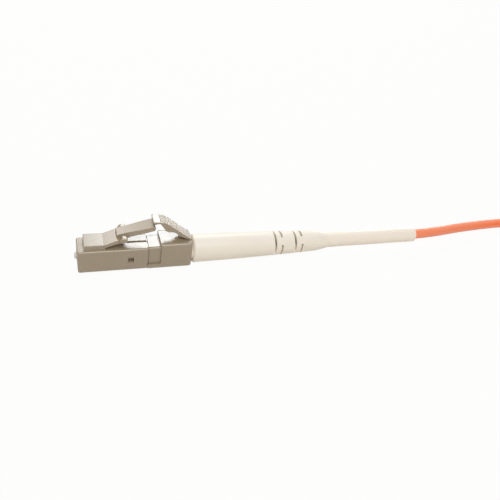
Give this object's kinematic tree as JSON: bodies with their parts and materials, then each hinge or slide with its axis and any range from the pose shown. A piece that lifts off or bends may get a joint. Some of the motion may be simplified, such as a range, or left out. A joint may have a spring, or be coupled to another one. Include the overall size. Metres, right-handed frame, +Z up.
{
  "type": "fibre optic pigtail",
  "caption": "Fibre optic pigtail: small square push-in plug with a spring latch, thumb trigger and ceramic ferrule, tapered boot, shrink sleeve and orange cable, rest of it in a tied hank.",
  "frame": {"origin": "centre of the ferrule's end face, with the ferrule at rest", "axes": "+X along the fibre from the ferrule's tip towards the cable, +Z up on the latch side, +Y completes the right-handed frame"},
  "size_m": [0.1456, 0.0196, 0.0097],
  "materials": {
    "beige_plastic": "moulded satin",
    "ceramic": "polished white ceramic",
    "steel": "turned",
    "glass": "polished end",
    "buffer": "smooth",
    "plated_brass": "nickel plated",
    "yarn": "loose fibres",
    "crimp": "crimped",
    "boot": "satin",
    "sleeve": "shrink tube",
    "jacket": "smooth cable jacket",
    "tie": "hook and loop strap"
  },
  "bodies": {
    "plug": {"front_housing": "beige_plastic", "rear_clip": "beige_plastic", "stop_body": "plated_brass", "aramid_yarn": "yarn", "crimp_sleeve": "crimp", "boot": "boot", "marker_sleeve": "sleeve", "cable_lead": "jacket", "cable_run": "jacket", "cable_hank": "jacket", "hank_tie": "tie", "ferrule_spring": "steel"},
    "latch": {"latch_arm": "beige_plastic"},
    "trigger": {"trigger_lever": "beige_plastic"},
    "ferrule_unit": {"ferrule": "ceramic", "ferrule_collar": "steel", "glass_fibre": "glass", "tight_buffer": "buffer"}
  },
  "joints": [
    {"name": "latch_flex", "type": "hinge", "parent": "plug", "child": "latch", "pos_m": [0.00505, 0, 0.0029], "axis": [0, 1, 0], "range_deg": [0, 13.6], "stiffness_Nm_per_rad": 0.0006},
    {"name": "trigger_press", "type": "hinge", "parent": "plug", "child": "trigger", "pos_m": [0.0196, 0, 0.00313], "axis": [0, -1, 0], "range_deg": [0, 17], "stiffness_Nm_per_rad": 0.0002},
    {"name": "ferrule_float", "type": "slide", "parent": "plug", "child": "ferrule_unit", "axis": [1, 0, 0], "range_m": [0, 0.0008], "stiffness_N_per_m": 1500, "deforming": ["ferrule_spring"]}
  ],
  "couplings": [
    {"joint": "trigger_press", "follows": "latch_flex", "ratio": 1.25}
  ]
}
